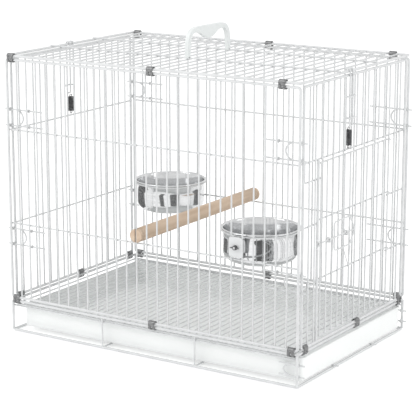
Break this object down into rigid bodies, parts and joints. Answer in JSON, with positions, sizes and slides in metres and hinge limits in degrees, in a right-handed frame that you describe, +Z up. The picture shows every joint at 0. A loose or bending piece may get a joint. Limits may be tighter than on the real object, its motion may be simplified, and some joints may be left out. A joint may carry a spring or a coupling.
{
  "type": "travel bird cage",
  "caption": "Collapsible wire travel cage for small birds, with a side door, pull-out tray and grate, two bowls, a perch and a carry handle.",
  "frame": {"origin": "on the ground under the middle of the cage", "axes": "+X along the length, towards the door and the end where the tray pulls out; +Y from front to back; +Z up"},
  "size_m": [0.618, 0.4078, 0.56],
  "materials": {
    "coated_wire": "white powder coat, satin",
    "clip_steel": "dark zinc-plated sheet and spring steel",
    "bowl_steel": "polished stainless steel",
    "fastener_steel": "bright zinc-plated steel",
    "perch_wood": "turned plain hardwood, unvarnished",
    "handle_plastic": "moulded, fine satin",
    "tray_plastic": "moulded, smooth satin"
  },
  "bodies": {
    "cage": {"base_frame": "coated_wire", "front_panel": "coated_wire", "back_panel": "coated_wire", "roof_panel": "coated_wire", "right_side_panel": "coated_wire", "left_side_panel": "coated_wire", "front_low_clip_1": "clip_steel", "front_low_clip_2": "clip_steel", "front_low_clip_3": "clip_steel", "back_low_clip_1": "clip_steel", "back_low_clip_2": "clip_steel", "back_low_clip_3": "clip_steel", "front_high_clip_1": "clip_steel", "front_high_clip_2": "clip_steel", "front_high_clip_3": "clip_steel", "back_high_clip_1": "clip_steel", "back_high_clip_2": "clip_steel", "back_high_clip_3": "clip_steel", "right_clip_1": "clip_steel", "right_clip_2": "clip_steel", "right_clip_3": "clip_steel", "left_clip_1": "clip_steel", "left_clip_2": "clip_steel", "left_clip_3": "clip_steel", "right_hook_spring": "clip_steel", "left_hook_spring": "clip_steel", "front_bowl_ring": "coated_wire", "back_bowl_ring": "coated_wire", "front_bowl_bolt": "fastener_steel", "back_bowl_bolt": "fastener_steel", "front_bowl_nut": "clip_steel", "back_bowl_nut": "clip_steel", "front_bowl_plate": "coated_wire", "back_bowl_plate": "coated_wire", "carry_handle": "handle_plastic"},
    "tray": {"tray": "tray_plastic"},
    "grate": {"floor_grate": "coated_wire"},
    "door": {"side_door": "coated_wire", "door_latch_spring": "coated_wire"},
    "latch": {"door_latch": "coated_wire"},
    "right_hook": {"right_spring_hook": "coated_wire"},
    "left_hook": {"left_spring_hook": "coated_wire"},
    "front_bowl": {"front_bowl": "bowl_steel"},
    "back_bowl": {"back_bowl": "bowl_steel"},
    "perch": {"perch": "perch_wood"},
    "front_base_bolt": {"front_base_bolt": "coated_wire"},
    "back_base_bolt": {"back_base_bolt": "coated_wire"},
    "front_right_upper_bolt": {"front_right_upper_bolt": "coated_wire"},
    "front_right_lower_bolt": {"front_right_lower_bolt": "coated_wire"},
    "front_left_upper_bolt": {"front_left_upper_bolt": "coated_wire"},
    "front_left_lower_bolt": {"front_left_lower_bolt": "coated_wire"},
    "back_right_upper_bolt": {"back_right_upper_bolt": "coated_wire"},
    "back_right_lower_bolt": {"back_right_lower_bolt": "coated_wire"},
    "back_left_upper_bolt": {"back_left_upper_bolt": "coated_wire"},
    "back_left_lower_bolt": {"back_left_lower_bolt": "coated_wire"}
  },
  "joints": [
    {"name": "tray_slide", "type": "slide", "parent": "cage", "child": "tray", "axis": [1, 0, 0], "range_m": [0, 0.56]},
    {"name": "grate_slide", "type": "slide", "parent": "cage", "child": "grate", "axis": [1, 0, 0], "range_m": [0, 0.56]},
    {"name": "door_swing", "type": "hinge", "parent": "cage", "child": "door", "pos_m": [0.2976, 0.1212, 0], "axis": [0, 0, 1], "range_deg": [0, 140]},
    {"name": "latch_slide", "type": "slide", "parent": "door", "child": "latch", "axis": [0, 1, 0], "range_m": [0, 0.012], "stiffness_N_per_m": 200, "springref_m": -0.005, "deforming": ["door_latch_spring"]},
    {"name": "right_hook_lift", "type": "slide", "parent": "cage", "child": "right_hook", "axis": [0, 0, 1], "range_m": [0, 0.012], "stiffness_N_per_m": 400, "springref_m": -0.01, "deforming": ["right_hook_spring"]},
    {"name": "left_hook_lift", "type": "slide", "parent": "cage", "child": "left_hook", "axis": [0, 0, 1], "range_m": [0, 0.012], "stiffness_N_per_m": 400, "springref_m": -0.01, "deforming": ["left_hook_spring"]},
    {"name": "front_right_upper_bolt_slide", "type": "slide", "parent": "cage", "child": "front_right_upper_bolt", "axis": [-1, 0, 0], "range_m": [0, 0.0165]},
    {"name": "front_right_lower_bolt_slide", "type": "slide", "parent": "cage", "child": "front_right_lower_bolt", "axis": [-1, 0, 0], "range_m": [0, 0.0165]},
    {"name": "front_left_upper_bolt_slide", "type": "slide", "parent": "cage", "child": "front_left_upper_bolt", "axis": [1, 0, 0], "range_m": [0, 0.0165]},
    {"name": "front_left_lower_bolt_slide", "type": "slide", "parent": "cage", "child": "front_left_lower_bolt", "axis": [1, 0, 0], "range_m": [0, 0.0165]},
    {"name": "back_right_upper_bolt_slide", "type": "slide", "parent": "cage", "child": "back_right_upper_bolt", "axis": [-1, 0, 0], "range_m": [0, 0.0165]},
    {"name": "back_right_lower_bolt_slide", "type": "slide", "parent": "cage", "child": "back_right_lower_bolt", "axis": [-1, 0, 0], "range_m": [0, 0.0165]},
    {"name": "back_left_upper_bolt_slide", "type": "slide", "parent": "cage", "child": "back_left_upper_bolt", "axis": [1, 0, 0], "range_m": [0, 0.0165]},
    {"name": "back_left_lower_bolt_slide", "type": "slide", "parent": "cage", "child": "back_left_lower_bolt", "axis": [1, 0, 0], "range_m": [0, 0.0165]},
    {"name": "front_base_bolt_slide", "type": "slide", "parent": "cage", "child": "front_base_bolt", "axis": [-1, 0, 0], "range_m": [0, 0.01]},
    {"name": "back_base_bolt_slide", "type": "slide", "parent": "cage", "child": "back_base_bolt", "axis": [-1, 0, 0], "range_m": [0, 0.01]},
    {"name": "front_bowl_lift", "type": "slide", "parent": "cage", "child": "front_bowl", "axis": [0, 0, 1], "range_m": [0, 0.08]},
    {"name": "back_bowl_lift", "type": "slide", "parent": "cage", "child": "back_bowl", "axis": [0, 0, 1], "range_m": [0, 0.08]},
    {"name": "perch_lift", "type": "slide", "parent": "cage", "child": "perch", "axis": [0, 0, 1], "range_m": [0, 0.12]}
  ]
}
